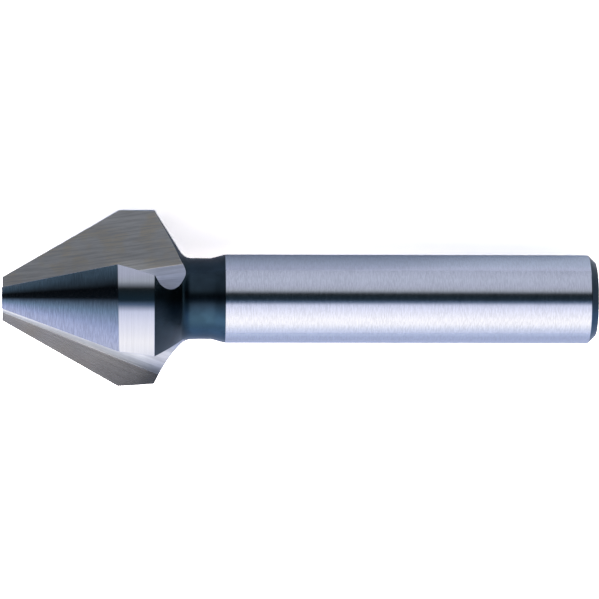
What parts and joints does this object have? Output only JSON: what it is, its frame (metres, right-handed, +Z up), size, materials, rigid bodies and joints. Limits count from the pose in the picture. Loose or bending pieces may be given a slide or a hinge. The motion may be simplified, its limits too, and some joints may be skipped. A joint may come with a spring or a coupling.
{
  "type": "countersink bit",
  "caption": "60 degree countersink for drilling machines: a short fluted cone on a plain round shank.",
  "frame": {"origin": "middle of the footprint, on the surface that the tool lies on", "axes": "+X from the tip to the shank end, level; +Z up; the tool's own axis slopes down towards the shank end"},
  "size_m": [0.0672, 0.02, 0.0189],
  "materials": {
    "tool_steel": "ground bright on the lands, flutes and shank; dark oxide on the back cone, neck and shank end"
  },
  "bodies": {
    "root": {"countersink": "tool_steel"}
  },
  "joints": []
}
